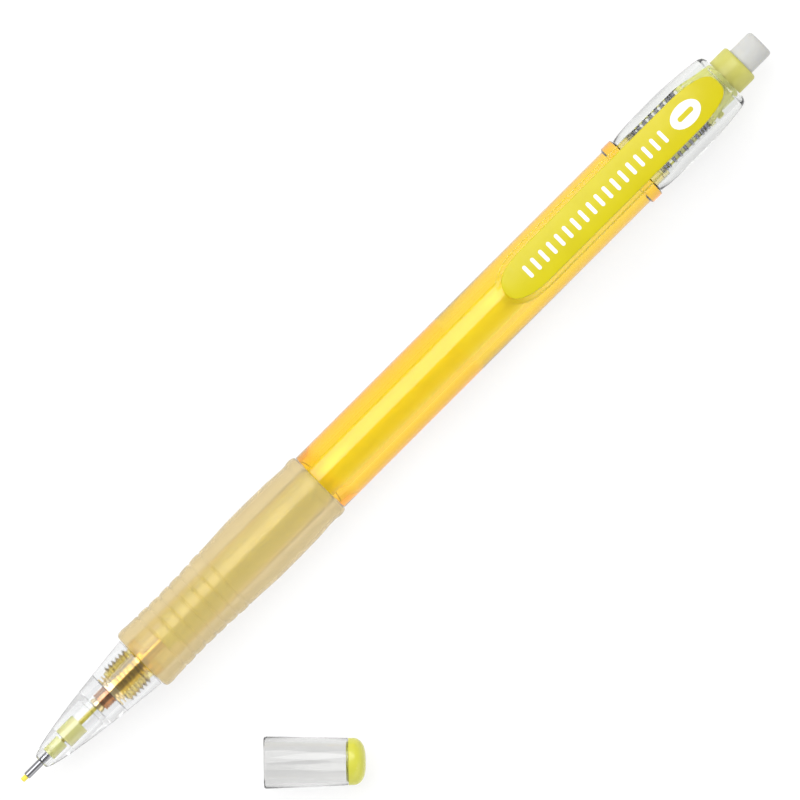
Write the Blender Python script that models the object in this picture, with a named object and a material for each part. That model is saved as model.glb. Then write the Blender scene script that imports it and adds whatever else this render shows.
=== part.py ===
"""Mechanical pencil with a rear return spring, a front clutch and a loose clear cap.

The pencil lies on its side with its clip up, and its cap lies beside it.
Frame: +X runs from the writing tip to the eraser, +Z is up, and the origin is on the table under the
widest ring of the grip. Outlines are in millimetres: a station is the distance from the tip of the lead
along the pencil's axis, or from the mouth of the cap along the cap's axis, and a radius is taken from
that axis. Each piece is one closed solid.
"""

import math

import bmesh
import bpy
from mathutils import Matrix

MM = 0.001
TURN = math.tau
FIT = 0.05            # gap between two pieces that are fitted together
FINE, MEDIUM, COARSE = 32, 24, 12     # sides of a turned piece

# Lead
LEAD_RADIUS = 0.35
LEAD_LENGTH = 60.0
LEAD_GRIP = LEAD_RADIUS + 0.02        # bore of what holds the lead

# Writing end
PIPE_FRONT, PIPE_REAR, PIPE_RADIUS, PIPE_BORE = 0.84, 7.4, 0.52, 0.38
NOSE_FRONT, NOSE_REAR = 3.53, 22.45
NOSE_TIP_RADIUS, NOSE_REAR_RADIUS, NOSE_CURVE = 0.95, 4.0, 0.62
HOLDER_FRONT, HOLDER_REAR, HOLDER_RADIUS = 5.08, 7.63, 1.0
RETAINER_FRONT, RETAINER_REAR, RETAINER_RADIUS = 7.96, 10.98, 1.49
RIB_FRONT, RIB_REAR, RIB_BORE = 13.2, 13.95, 1.3
CHUCK_ROOM_RADIUS = 2.0
NOSE_THREAD_BORE = 3.02

# Clutch
JAW_FRONT, JAW_REAR, JAW_RADIUS, JAW_HEAD_RADIUS = 13.9, 17.0, 0.93, 1.1
JAW_SLIT = math.radians(6.0)
JAW_COUNT = 3
RING_FRONT, RING_REAR, RING_RADIUS, RING_BORE = 14.87, 16.6, 1.35, 1.0
BUSH_FRONT, BUSH_SHOULDER, BUSH_REAR = 16.68, 17.64, 23.5
BUSH_FLANGE_RADIUS, BUSH_RADIUS, BUSH_BORE = 2.4, 1.95, 0.98
STEM_REAR, STEM_RADIUS, STEM_BORE = 28.05, 0.9, 0.6

# Barrel
BARREL_FRONT, BARREL_REAR = 17.68, 119.0
THREAD_ROOT, THREAD_CREST, THREAD_PITCH, THREAD_RIDGES = 2.7, 2.95, 0.65, 6
THREAD_FRONT = 18.1
GRIP_SEAT_FRONT, GRIP_SEAT_REAR, GRIP_SEAT_RADIUS = 22.5, 56.45, 3.0
BARREL_RADIUS = 4.65
COLLAR_FRONT, COLLAR_REAR, COLLAR_RADIUS = 114.4, 116.5, 5.0
SPIGOT_RADIUS = 3.9
SPRING_SEAT, SPRING_SEAT_BORE, SPRING_POCKET_RADIUS = 118.05, 2.9, 3.55
FRONT_BORE, WIDE_BORE, REAR_BORE = 2.6, 3.1, 3.3
WIDE_BORE_FRONT, WIDE_BORE_REAR = 59.0, 82.6
BUSH_SEAT_REAR = 24.1

# Grip
GRIP_FRONT, GRIP_REAR = 22.6, 56.4
GRIP_MAX_RADIUS = 5.2
GRIP_WIDEST = 46.0                    # station of the origin
GRIP_FLAT = 1.5                       # half length of the widest ring
GROOVE_FIRST, GROOVE_PITCH, GROOVE_COUNT = 26.5, 1.95, 7
GROOVE_DEPTH, GROOVE_HALF_WIDTH = 0.12, 0.3
GRIP_WAIST = ((24.7, 4.78), (30.0, 4.65), (34.0, 4.72), (38.5, 4.93), (44.5, 5.2))
GRIP_HEEL = ((47.5, 5.2), (50.5, 5.13), (54.3, 4.93))

# Knock mechanism
TUBE_FRONT, TUBE_REAR, TUBE_RADIUS, TUBE_BORE = 28.6, 126.9, 2.42, 1.9
CONNECTOR_FRONT, CONNECTOR_REAR = 26.5, 32.0
BUTTON_FRONT, BUTTON_REAR, BUTTON_RADIUS, BUTTON_NECK_RADIUS = 121.0, 136.2, 2.87, 2.75
BUTTON_FLANGE_FRONT, BUTTON_FLANGE_REAR, BUTTON_FLANGE_RADIUS = 127.3, 128.1, 3.42
ERASER_FRONT, ERASER_REAR, ERASER_RADIUS = 128.1, 140.0, 2.08
SPARE_LEADS = 3
SPARE_FRONT, SPARE_OFFSET, SPARE_SPREAD = 40.0, 1.45, math.radians(33.0)
LUG_FRONT, LUG_REAR, LUG_TOP, LUG_HALF_WIDTH = 128.7, 129.7, 3.4, 0.6

# Return spring
WIRE_RADIUS, COIL_RADIUS = 0.25, 3.2
SPRING_FRONT, SPRING_REAR = 118.1, 127.2
CLOSED_TURNS, CLOSED_PITCH, OPEN_TURNS = 2.5, 0.55, 5.5
POINTS_PER_TURN = 16

# Crown, the clear rear housing
CROWN_FRONT, CROWN_REAR, CROWN_HOLE = 116.55, 133.1, 2.96
CROWN_BORE_FRONT, CROWN_BORE, CROWN_WALL = 3.95, 3.7, 132.2
CROWN_OUTSIDE = ((116.55, 4.6), (118.0, 4.83), (120.2, 4.95), (122.5, 5.0), (125.0, 5.0), (127.0, 4.9),
                 (129.0, 4.75), (131.0, 4.55), (132.2, 4.35), (132.8, 4.1), (133.1, 3.6))

# Clip
CLIP_TIP, CLIP_REAR, CLIP_HALF_WIDTH = 91.25, 133.1, 3.5
CLIP_TIP_TAPER, CLIP_REAR_TAPER, CLIP_TAPER_FULLNESS = 7.0, 1.8, 2.6
CLIP_NARROW_FROM, CLIP_NARROW_HALF_WIDTH = 126.5, 2.75
CLIP_PIVOT = (132.6, 4.7)
CLIP_TOP = ((91.25, 6.5), (93.0, 7.0), (97.0, 7.4), (104.0, 7.6), (122.0, 7.6), (128.0, 7.2), (133.1, 6.0))
CLIP_UNDERSIDE = ((91.25, 5.6), (92.3, 4.78), (94.6, 4.78), (96.2, 5.55), (126.2, 5.55), (126.6, 5.06),
                  (129.0, 4.88), (131.0, 4.68), (132.7, 4.32), (133.1, 4.6))
RIM = 0.7
INLAY_THICKNESS = 0.5

# Cap
CAP_CENTRE = (29.47, -25.93)           # station and sideways place of the cap's middle
CAP_YAW = math.radians(-44.2)
CAP_SHELL_LENGTH, CAP_LENGTH = 11.3, 13.7
CAP_MOUTH_RADIUS, CAP_END_RADIUS = 3.52, 3.18
CAP_MOUTH_BORE, CAP_END_BORE = 2.95, 2.85
DOME_ROUND_FROM, DOME_LIP = 12.0, 11.0

FACET = math.cos(math.pi / FINE)      # height of a facet's middle over its corner radius
AXIS_HEIGHT = GRIP_MAX_RADIUS * FACET
CAP_PITCH = math.atan((CAP_MOUTH_RADIUS - CAP_END_RADIUS) * FACET / CAP_SHELL_LENGTH)
CAP_HEIGHT = CAP_MOUTH_RADIUS * FACET * math.cos(CAP_PITCH)


# ---------------------------------------------------------------- scene and materials

def clear_scene():
    """Remove what the file opens with."""
    for thing in list(bpy.data.objects):
        bpy.data.objects.remove(thing, do_unlink=True)


def material(name, colour, roughness, metallic=0.0):
    """A Principled material of one colour."""
    made = bpy.data.materials.new(name)
    made.use_nodes = True
    shader = made.node_tree.nodes["Principled BSDF"]
    shader.inputs["Base Color"].default_value = (*colour, 1.0)
    shader.inputs["Roughness"].default_value = roughness
    shader.inputs["Metallic"].default_value = metallic
    made.diffuse_color = (*colour, 1.0)
    return made


def add_object(name, data, finish, parent=None, location=(0.0, 0.0, 0.0)):
    """Put a mesh or a curve in the scene under its parent, with its own material."""
    thing = bpy.data.objects.new(name, data)
    bpy.context.scene.collection.objects.link(thing)
    if not data.materials:
        data.materials.append(material(name, *finish))
    thing.parent = parent
    thing.location = location
    return thing


def frame_point(name, location, rotation=(0.0, 0.0, 0.0), parent=None):
    """An empty that pieces hang from."""
    empty = bpy.data.objects.new(name, None)
    bpy.context.scene.collection.objects.link(empty)
    empty.location = location
    empty.rotation_euler = rotation
    empty.parent = parent
    return empty


def finish_mesh(name, bm):
    """Turn a bmesh into a smooth shaded mesh whose faces point out."""
    bmesh.ops.recalc_face_normals(bm, faces=bm.faces)
    mesh = bpy.data.meshes.new(name)
    bm.to_mesh(mesh)
    bm.free()
    mesh.shade_smooth()
    mesh.set_sharp_from_angle(angle=math.radians(32.0))
    return mesh


# ---------------------------------------------------------------- shapes

def outline_vertices(bm, outline, roll):
    """Vertices of a (station, radius) outline in mm, in the plane that stands at an angle about X."""
    points = [bm.verts.new((station * MM, 0.0, radius * MM)) for station, radius in outline]
    bmesh.ops.rotate(bm, verts=points, cent=(0, 0, 0), matrix=Matrix.Rotation(roll, 3, "X"))
    return points


def turned_mesh(name, outline, sides):
    """Revolve an outline about X. One that starts and ends on the axis is solid, others are rings."""
    bm = bmesh.new()
    points = outline_vertices(bm, outline, math.pi / sides)
    solid = outline[0][1] == 0.0 and outline[-1][1] == 0.0
    ends = points[1:] if solid else points[1:] + points[:1]
    edges = [bm.edges.new(pair) for pair in zip(points, ends)]
    bmesh.ops.spin(bm, geom=points + edges, cent=(0, 0, 0), axis=(1, 0, 0), angle=TURN, steps=sides,
                   use_merge=True)
    bmesh.ops.remove_doubles(bm, verts=bm.verts, dist=1e-7)
    return finish_mesh(name, bm)


def turned(name, outline, finish, parent, sides=FINE):
    """A turned piece on its parent's X axis."""
    return add_object(name, turned_mesh(name, outline, sides), finish, parent)


def ring_outline(front, rear, outer, inner):
    """The outline of a plain tube."""
    return [(front, outer), (rear, outer), (rear, inner), (front, inner)]


def between(points, station):
    """Height at a station on straight lines through the points."""
    for (s0, h0), (s1, h1) in zip(points, points[1:]):
        if station <= s1:
            return h0 + (h1 - h0) * max(0.0, station - s0) / (s1 - s0)
    return points[-1][1]


def eased(points, station):
    """Height at a station on lines that ease in and out of each point."""
    for (s0, h0), (s1, h1) in zip(points, points[1:]):
        if station <= s1:
            share = max(0.0, station - s0) / (s1 - s0)
            return h0 + (h1 - h0) * share * share * (3.0 - 2.0 * share)
    return points[-1][1]


def tapered(distance, length, fullness):
    """Share of the full width at a distance from a rounded end."""
    rest = max(0.0, 1.0 - distance / length)
    return (1.0 - rest ** fullness) ** (1.0 / fullness)


def plate_mesh(name, stations, half_width, underside, top):
    """A plate along X, symmetric about the XZ plane, from its width and heights at each station."""
    bm = bmesh.new()
    loops = []
    for station in stations:
        x, y = station * MM, half_width(station) * MM
        low, high = underside(station) * MM, top(station) * MM
        corners = ((x, -y, low), (x, y, low), (x, y, high), (x, -y, high))
        loops.append([bm.verts.new(corner) for corner in corners])
    for loop, following in zip(loops, loops[1:]):
        for i in range(4):
            j = (i + 1) % 4
            bm.faces.new((loop[i], loop[j], following[j], following[i]))
    bm.faces.new(loops[0])
    bm.faces.new(loops[-1])
    return finish_mesh(name, bm)


def cut(target, cutter, operation):
    """Cut a target with a hidden solid, or join the two."""
    cutter.hide_render = True
    cutter.display_type = "WIRE"
    modifier = target.modifiers.new(operation.lower(), "BOOLEAN")
    modifier.operation = operation
    modifier.solver = "EXACT"
    modifier.object = cutter


# ---------------------------------------------------------------- finishes: colour, roughness, metallic

AMBER = ((0.90, 0.60, 0.05), 0.12)
CLEAR = ((0.85, 0.86, 0.84), 0.08)
GRIP_RUBBER = ((0.78, 0.60, 0.28), 0.55)
YELLOW_PLASTIC = ((0.82, 0.74, 0.02), 0.35)
LIME_PLASTIC = ((0.60, 0.60, 0.13), 0.35)
LEAD_YELLOW = ((0.72, 0.60, 0.03), 0.6)
BRASS = ((0.72, 0.50, 0.20), 0.25, 1.0)
COPPER_BRASS = ((0.70, 0.38, 0.16), 0.25, 1.0)
STEEL = ((0.55, 0.55, 0.56), 0.25, 1.0)
SPRING_STEEL = ((0.20, 0.20, 0.22), 0.3, 1.0)
PALE_RUBBER = ((0.80, 0.78, 0.35), 0.45)
VINYL = ((0.72, 0.72, 0.68), 0.6)


# ---------------------------------------------------------------- writing end

def nose_radius(station):
    """Outside of the nose: a slim ogive."""
    share = (station - NOSE_FRONT) / (NOSE_REAR - NOSE_FRONT)
    return NOSE_TIP_RADIUS + (NOSE_REAR_RADIUS - NOSE_TIP_RADIUS) * share ** NOSE_CURVE


def make_nose(axis):
    """Clear nose cone, with a seat for each piece that it holds."""
    steps = 13
    length = NOSE_REAR - NOSE_FRONT
    outside = [NOSE_FRONT + length * (i / steps) ** 1.4 for i in range(steps + 1)]
    outline = [(station, nose_radius(station)) for station in outside]
    outline += [
        (NOSE_REAR, NOSE_THREAD_BORE),
        (BUSH_FRONT - FIT, NOSE_THREAD_BORE),
        (BUSH_FRONT - FIT, CHUCK_ROOM_RADIUS),
        (RIB_REAR, CHUCK_ROOM_RADIUS),
        (RIB_REAR, RIB_BORE),
        (RIB_FRONT, RIB_BORE),
        (RIB_FRONT, RETAINER_RADIUS + FIT),
        (RETAINER_FRONT - FIT, RETAINER_RADIUS + FIT),
        (RETAINER_FRONT - FIT, HOLDER_RADIUS + FIT),
        (HOLDER_FRONT - FIT, HOLDER_RADIUS + FIT),
        (HOLDER_FRONT - FIT, PIPE_RADIUS + FIT),
        (NOSE_FRONT, PIPE_RADIUS + FIT),
    ]
    turned("nose_cone", outline, CLEAR, axis)


def make_pipe_and_retainer(axis):
    """Steel guide pipe, the plug that holds it, and the soft ring that stops the lead sliding back."""
    turned("guide_pipe", ring_outline(PIPE_FRONT, PIPE_REAR, PIPE_RADIUS, PIPE_BORE), STEEL, axis, COARSE)
    holder = ring_outline(HOLDER_FRONT, HOLDER_REAR, HOLDER_RADIUS, PIPE_RADIUS + FIT)
    turned("pipe_holder", holder, YELLOW_PLASTIC, axis, MEDIUM)
    retainer = ring_outline(RETAINER_FRONT, RETAINER_REAR, RETAINER_RADIUS, LEAD_GRIP)
    turned("lead_retainer", retainer, PALE_RUBBER, axis, MEDIUM)


def lead_outline(front):
    """A lead with a chamfered front end."""
    chamfer = 0.15
    rear = front + LEAD_LENGTH
    return [(front, 0.0), (front, LEAD_RADIUS - chamfer), (front + chamfer, LEAD_RADIUS),
            (rear, LEAD_RADIUS), (rear, 0.0)]


def make_lead(axis):
    """The lead in use, from the tip back into the lead tube."""
    turned("lead", lead_outline(0.0), LEAD_YELLOW, axis, COARSE)


# ---------------------------------------------------------------- clutch

def make_jaws(axis):
    """Jaws that close on the lead, each with its origin on the hinge line at its root."""
    outline = [
        (JAW_FRONT, LEAD_GRIP),
        (JAW_FRONT, JAW_HEAD_RADIUS - 0.15),
        (JAW_FRONT + 0.2, JAW_HEAD_RADIUS),
        (JAW_FRONT + 0.55, JAW_HEAD_RADIUS),
        (RING_FRONT - 0.02, JAW_RADIUS),
        (JAW_REAR, JAW_RADIUS),
        (JAW_REAR, LEAD_GRIP),
    ]
    span = TURN / JAW_COUNT - JAW_SLIT
    bm = bmesh.new()
    face = bm.faces.new(outline_vertices(bm, outline, -span / 2))
    bmesh.ops.spin(bm, geom=[face], cent=(0, 0, 0), axis=(1, 0, 0), angle=span, steps=5)
    bmesh.ops.translate(bm, verts=bm.verts, vec=(-JAW_REAR * MM, 0.0, -JAW_RADIUS * MM))
    mesh = finish_mesh("chuck_jaw", bm)
    for number in range(JAW_COUNT):
        angle = number * TURN / JAW_COUNT
        sideways, upward = -math.sin(angle) * JAW_RADIUS, math.cos(angle) * JAW_RADIUS
        place = (JAW_REAR * MM, sideways * MM, upward * MM)
        jaw = add_object(f"chuck_jaw_{number + 1}", mesh, BRASS, axis, place)
        jaw.rotation_euler = (angle, 0.0, 0.0)


def make_clutch(axis):
    """Ring that squeezes the jaws, the bushing that stops it, and the stem that pulls the jaws."""
    turned("clutch_ring", ring_outline(RING_FRONT, RING_REAR, RING_RADIUS, RING_BORE), COPPER_BRASS, axis,
           MEDIUM)
    bushing = [
        (BUSH_FRONT, BUSH_FLANGE_RADIUS),
        (BUSH_SHOULDER, BUSH_FLANGE_RADIUS),
        (BUSH_SHOULDER, BUSH_RADIUS),
        (BUSH_REAR, BUSH_RADIUS),
        (BUSH_REAR, BUSH_BORE),
        (BUSH_FRONT, BUSH_BORE),
    ]
    turned("chuck_bushing", bushing, BRASS, axis, MEDIUM)
    stem = ring_outline(JAW_REAR + FIT, STEM_REAR, STEM_RADIUS, STEM_BORE)
    turned("chuck_stem", stem, BRASS, axis, MEDIUM)


# ---------------------------------------------------------------- barrel and grip

def make_barrel(axis):
    """Amber barrel with a threaded spigot, a seat for the grip, a collar and a rear spigot."""
    outline = [(BARREL_FRONT, THREAD_ROOT)]
    for ridge in range(THREAD_RIDGES):
        start = THREAD_FRONT + ridge * THREAD_PITCH
        outline += [(start, THREAD_ROOT), (start + THREAD_PITCH / 2, THREAD_CREST)]
    outline += [
        (THREAD_FRONT + THREAD_RIDGES * THREAD_PITCH, THREAD_ROOT),
        (GRIP_SEAT_FRONT, THREAD_ROOT),
        (GRIP_SEAT_FRONT, GRIP_SEAT_RADIUS),
        (GRIP_SEAT_REAR, GRIP_SEAT_RADIUS),
        (GRIP_SEAT_REAR, BARREL_RADIUS - 0.1),
        (GRIP_SEAT_REAR + 0.1, BARREL_RADIUS),
        (COLLAR_FRONT, BARREL_RADIUS),
        (COLLAR_FRONT + 0.5, COLLAR_RADIUS),
        (COLLAR_REAR - 0.5, COLLAR_RADIUS),
        (COLLAR_REAR, COLLAR_RADIUS - 0.35),
        (COLLAR_REAR, SPIGOT_RADIUS),
        (BARREL_REAR, SPIGOT_RADIUS),
        (BARREL_REAR, SPRING_POCKET_RADIUS),
        (SPRING_SEAT, SPRING_POCKET_RADIUS),
        (SPRING_SEAT, SPRING_SEAT_BORE),
        (COLLAR_REAR, SPRING_SEAT_BORE),
        (COLLAR_REAR - 0.8, REAR_BORE),
        (WIDE_BORE_REAR, REAR_BORE),
        (WIDE_BORE_REAR - 0.3, WIDE_BORE),
        (WIDE_BORE_FRONT, WIDE_BORE),
        (WIDE_BORE_FRONT - 0.6, FRONT_BORE),
        (BUSH_SEAT_REAR, FRONT_BORE),
        (BUSH_SEAT_REAR, BUSH_RADIUS + FIT),
        (BARREL_FRONT, BUSH_RADIUS + FIT),
    ]
    turned("barrel", outline, AMBER, axis)


def make_grip(axis):
    """Soft grip: a rounded nose, shallow rings over a waist, a full belly and a bead at the rear."""
    bore = GRIP_SEAT_RADIUS + FIT
    outline = [(GRIP_FRONT, bore), (GRIP_FRONT, 4.35), (22.75, 4.65), (23.1, 4.82), (23.8, 4.86), (24.7, 4.78)]
    for groove in range(GROOVE_COUNT):
        middle = GROOVE_FIRST + groove * GROOVE_PITCH
        before, after = middle - GROOVE_HALF_WIDTH, middle + GROOVE_HALF_WIDTH
        outline += [
            (before, eased(GRIP_WAIST, before)),
            (middle, eased(GRIP_WAIST, middle) - GROOVE_DEPTH),
            (after, eased(GRIP_WAIST, after)),
        ]
    outline += [(station, eased(GRIP_WAIST, station)) for station in (40.0, 41.5, 43.0)]
    outline += [(GRIP_WIDEST - GRIP_FLAT, GRIP_MAX_RADIUS), (GRIP_WIDEST + GRIP_FLAT, GRIP_MAX_RADIUS)]
    outline += [(station, eased(GRIP_HEEL, station)) for station in (49.0, 50.5, 52.5, 54.3)]
    outline += [(54.9, 5.0), (55.5, 5.06), (56.1, 4.98), (GRIP_REAR, 4.8), (GRIP_REAR, bore)]
    turned("grip", outline, GRIP_RUBBER, axis)


# ---------------------------------------------------------------- knock mechanism

def make_tube(axis):
    """Lead tube, with the connector that joins it to the chuck's stem."""
    turned("lead_tube", ring_outline(TUBE_FRONT, TUBE_REAR, TUBE_RADIUS, TUBE_BORE), YELLOW_PLASTIC, axis,
           MEDIUM)
    shoulder = TUBE_FRONT - 0.1
    plug = TUBE_BORE - FIT
    connector = [
        (CONNECTOR_FRONT, 1.5),
        (shoulder - 0.6, 1.5),
        (shoulder - 0.6, TUBE_RADIUS),
        (shoulder, TUBE_RADIUS),
        (shoulder, plug),
        (CONNECTOR_REAR, plug),
        (CONNECTOR_REAR, plug - 0.25),
        (CONNECTOR_REAR - 2.4, STEM_BORE),
        (STEM_REAR + FIT, STEM_BORE),
        (STEM_REAR + FIT, STEM_RADIUS + FIT),
        (CONNECTOR_FRONT, STEM_RADIUS + FIT),
    ]
    turned("tube_connector", connector, YELLOW_PLASTIC, axis, MEDIUM)


def make_spare_leads(axis):
    """Spare leads side by side on the bottom of the lead tube."""
    middle = (SPARE_LEADS - 1) / 2
    mesh = turned_mesh("spare_lead", lead_outline(0.0), COARSE)
    for number in range(SPARE_LEADS):
        angle = (number - middle) * SPARE_SPREAD
        sideways, upward = math.sin(angle) * SPARE_OFFSET, -math.cos(angle) * SPARE_OFFSET
        place = (SPARE_FRONT * MM, sideways * MM, upward * MM)
        add_object(f"spare_lead_{number + 1}", mesh, LEAD_YELLOW, axis, place)


def make_button(axis):
    """Push button: a socket for the tube, a flange for the spring, a cup for the eraser and a lug."""
    cup = ERASER_RADIUS + FIT
    web = ERASER_FRONT - 0.1
    outline = [
        (BUTTON_FRONT, BUTTON_NECK_RADIUS),
        (BUTTON_FLANGE_FRONT, BUTTON_NECK_RADIUS),
        (BUTTON_FLANGE_FRONT, BUTTON_FLANGE_RADIUS),
        (BUTTON_FLANGE_REAR, BUTTON_FLANGE_RADIUS),
        (BUTTON_FLANGE_REAR, BUTTON_RADIUS),
        (BUTTON_REAR - 0.45, BUTTON_RADIUS),
        (BUTTON_REAR - 0.12, BUTTON_RADIUS - 0.14),
        (BUTTON_REAR, BUTTON_RADIUS - 0.42),
        (BUTTON_REAR, cup),
        (web, cup),
        (web, 1.2),
        (TUBE_REAR + 0.1, 1.2),
        (TUBE_REAR + 0.1, TUBE_RADIUS + FIT),
        (BUTTON_FRONT, TUBE_RADIUS + FIT),
    ]
    button = turned("push_button", outline, LIME_PLASTIC, axis)
    lug = plate_mesh("button_lug_mesh", (LUG_FRONT, LUG_REAR), lambda s: LUG_HALF_WIDTH,
                     lambda s: BUTTON_RADIUS - 0.3, lambda s: LUG_TOP)
    lug_object = add_object("button_lug", lug, LIME_PLASTIC, axis)
    lug_object.rotation_euler = (math.radians(90.0), 0.0, 0.0)
    cut(button, lug_object, "UNION")


def make_eraser(axis):
    """White eraser stub, pushed into the button's cup."""
    outline = [
        (ERASER_FRONT, 0.0),
        (ERASER_FRONT, ERASER_RADIUS),
        (ERASER_REAR - 0.5, ERASER_RADIUS),
        (ERASER_REAR - 0.15, ERASER_RADIUS - 0.15),
        (ERASER_REAR, ERASER_RADIUS - 0.5),
        (ERASER_REAR, 0.0),
    ]
    turned("eraser", outline, VINYL, axis)


def make_spring(axis):
    """Return spring: closed turns at both ends and open turns between, as a swept wire."""
    turns = 2 * CLOSED_TURNS + OPEN_TURNS
    travel = SPRING_REAR - SPRING_FRONT - 2 * WIRE_RADIUS
    open_pitch = (travel - 2 * CLOSED_TURNS * CLOSED_PITCH) / OPEN_TURNS
    curve = bpy.data.curves.new("return_spring", "CURVE")
    curve.dimensions = "3D"
    curve.bevel_depth = WIRE_RADIUS * MM
    curve.bevel_resolution = 1
    curve.use_fill_caps = True
    spline = curve.splines.new("POLY")
    count = round(turns * POINTS_PER_TURN)
    spline.points.add(count)
    for i in range(count + 1):
        turn = turns * i / count
        opened = min(max(turn - CLOSED_TURNS, 0.0), OPEN_TURNS)
        station = SPRING_FRONT + WIRE_RADIUS + opened * open_pitch + (turn - opened) * CLOSED_PITCH
        angle = turn * TURN
        spline.points[i].co = (station * MM, COIL_RADIUS * math.cos(angle) * MM,
                               COIL_RADIUS * math.sin(angle) * MM, 1.0)
    add_object("return_spring", curve, SPRING_STEEL, axis)


# ---------------------------------------------------------------- crown and clip

def make_crown(axis):
    """Clear rear housing round the spring, with a hole for the button."""
    outline = list(CROWN_OUTSIDE)
    outline += [
        (CROWN_REAR, CROWN_HOLE),
        (CROWN_WALL, CROWN_HOLE),
        (CROWN_WALL, CROWN_BORE),
        (BARREL_REAR + 0.4, CROWN_BORE),
        (BARREL_REAR + FIT, CROWN_BORE_FRONT),
        (CROWN_FRONT, CROWN_BORE_FRONT),
    ]
    turned("crown", outline, CLEAR, axis)


def clip_half_width(station):
    """Plan outline of the clip: a long rounded tip and a narrower rounded rear."""
    waist = eased(((CLIP_NARROW_FROM, CLIP_HALF_WIDTH), (CLIP_REAR - 1.0, CLIP_NARROW_HALF_WIDTH)), station)
    tip = tapered(station - CLIP_TIP, CLIP_TIP_TAPER, CLIP_TAPER_FULLNESS)
    rear = tapered(CLIP_REAR - station, CLIP_REAR_TAPER, CLIP_TAPER_FULLNESS)
    return waist * tip * rear


def inset_half_width(station, inset):
    """The clip's plan outline drawn in by an inset on all sides."""
    share = (station - CLIP_TIP - inset) / (CLIP_REAR - CLIP_TIP - 2 * inset)
    matched = CLIP_TIP + share * (CLIP_REAR - CLIP_TIP)
    return clip_half_width(matched) * (CLIP_HALF_WIDTH - inset) / CLIP_HALF_WIDTH


def clip_stations(inset):
    """Stations close together at both rounded ends and at each change of height."""
    from_tip = (0.03, 0.15, 0.45, 1.0, 2.0, 3.5, 5.0, 7.0)
    from_rear = (0.03, 0.12, 0.35, 0.8, 1.8)
    front, rear = CLIP_TIP + inset, CLIP_REAR - inset
    stations = {front + step for step in from_tip} | {rear - step for step in from_rear}
    knots = {station for station, height in CLIP_TOP + CLIP_UNDERSIDE} | {127.5, 130.0}
    inner = {knot for knot in knots if min(stations) + 0.1 < knot < max(stations) - 0.1}
    return sorted(stations | inner)


def make_clip(axis):
    """Clear clip arm with a sunk panel, and the yellow inlay in it, on the line where the arm flexes."""
    x, z = CLIP_PIVOT[0] * MM, CLIP_PIVOT[1] * MM
    pivot = frame_point("clip_pivot", (x, 0.0, z), parent=axis)
    panel_gap = RIM - FIT

    def place(name, stations, half_width, underside, top, finish):
        mesh = plate_mesh(name, stations, half_width, underside, top)
        mesh.transform(Matrix.Translation((-x, 0.0, -z)))
        return add_object(name, mesh, finish, pivot)

    clip = place("clip", clip_stations(0.0), clip_half_width,
                 lambda s: between(CLIP_UNDERSIDE, s), lambda s: between(CLIP_TOP, s), CLEAR)
    recess = place("clip_recess", clip_stations(panel_gap), lambda s: inset_half_width(s, panel_gap),
                   lambda s: between(CLIP_TOP, s) - INLAY_THICKNESS - FIT,
                   lambda s: between(CLIP_TOP, s) + 1.0, CLEAR)
    cut(clip, recess, "DIFFERENCE")
    place("clip_inlay", clip_stations(RIM), lambda s: inset_half_width(s, RIM),
          lambda s: between(CLIP_TOP, s) - INLAY_THICKNESS, lambda s: between(CLIP_TOP, s), YELLOW_PLASTIC)


# ---------------------------------------------------------------- cap

def make_cap():
    """Clear tapered cap and the domed plug that closes it, lying on one flat of the shell."""
    half = CAP_LENGTH / 2
    mouth = (CAP_CENTRE[0] - GRIP_WIDEST - half * math.cos(CAP_YAW), CAP_CENTRE[1] - half * math.sin(CAP_YAW))
    axis = frame_point("cap_axis", (mouth[0] * MM, mouth[1] * MM, CAP_HEIGHT * MM), (0.0, CAP_PITCH, CAP_YAW))
    shell = [
        (0.0, CAP_MOUTH_RADIUS),
        (CAP_SHELL_LENGTH, CAP_END_RADIUS),
        (CAP_SHELL_LENGTH, CAP_END_BORE),
        (0.0, CAP_MOUTH_BORE),
    ]
    turned("cap_shell", shell, CLEAR, axis)
    seat = CAP_SHELL_LENGTH + FIT
    lip = CAP_END_BORE - 2 * FIT
    dome = [(DOME_LIP, 0.0), (DOME_LIP, lip), (seat, lip), (seat, CAP_END_RADIUS)]
    steps = 6
    for i in range(steps + 1):
        angle = math.radians(90.0) * i / steps
        station = DOME_ROUND_FROM + (CAP_LENGTH - DOME_ROUND_FROM) * math.sin(angle)
        dome.append((station, CAP_END_RADIUS * math.cos(angle) ** 0.7 if i < steps else 0.0))
    turned("cap_dome", dome, LIME_PLASTIC, axis)


def main():
    clear_scene()
    axis = frame_point("pencil_axis", (-GRIP_WIDEST * MM, 0.0, AXIS_HEIGHT * MM))
    make_lead(axis)
    make_nose(axis)
    make_pipe_and_retainer(axis)
    make_jaws(axis)
    make_clutch(axis)
    make_barrel(axis)
    make_grip(axis)
    make_tube(axis)
    make_spare_leads(axis)
    make_button(axis)
    make_eraser(axis)
    make_spring(axis)
    make_crown(axis)
    make_clip(axis)
    make_cap()
    bpy.context.view_layer.update()


main()
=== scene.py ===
"""Looks of a mechanical pencil that lies beside its loose clear cap.

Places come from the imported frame: a station is a distance in mm along the pencil from the tip of its lead,
or along the cap from its mouth, and a radius in mm is taken from that axis.
"""

import math

import bmesh
import bpy
from mathutils import Matrix, Vector


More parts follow.
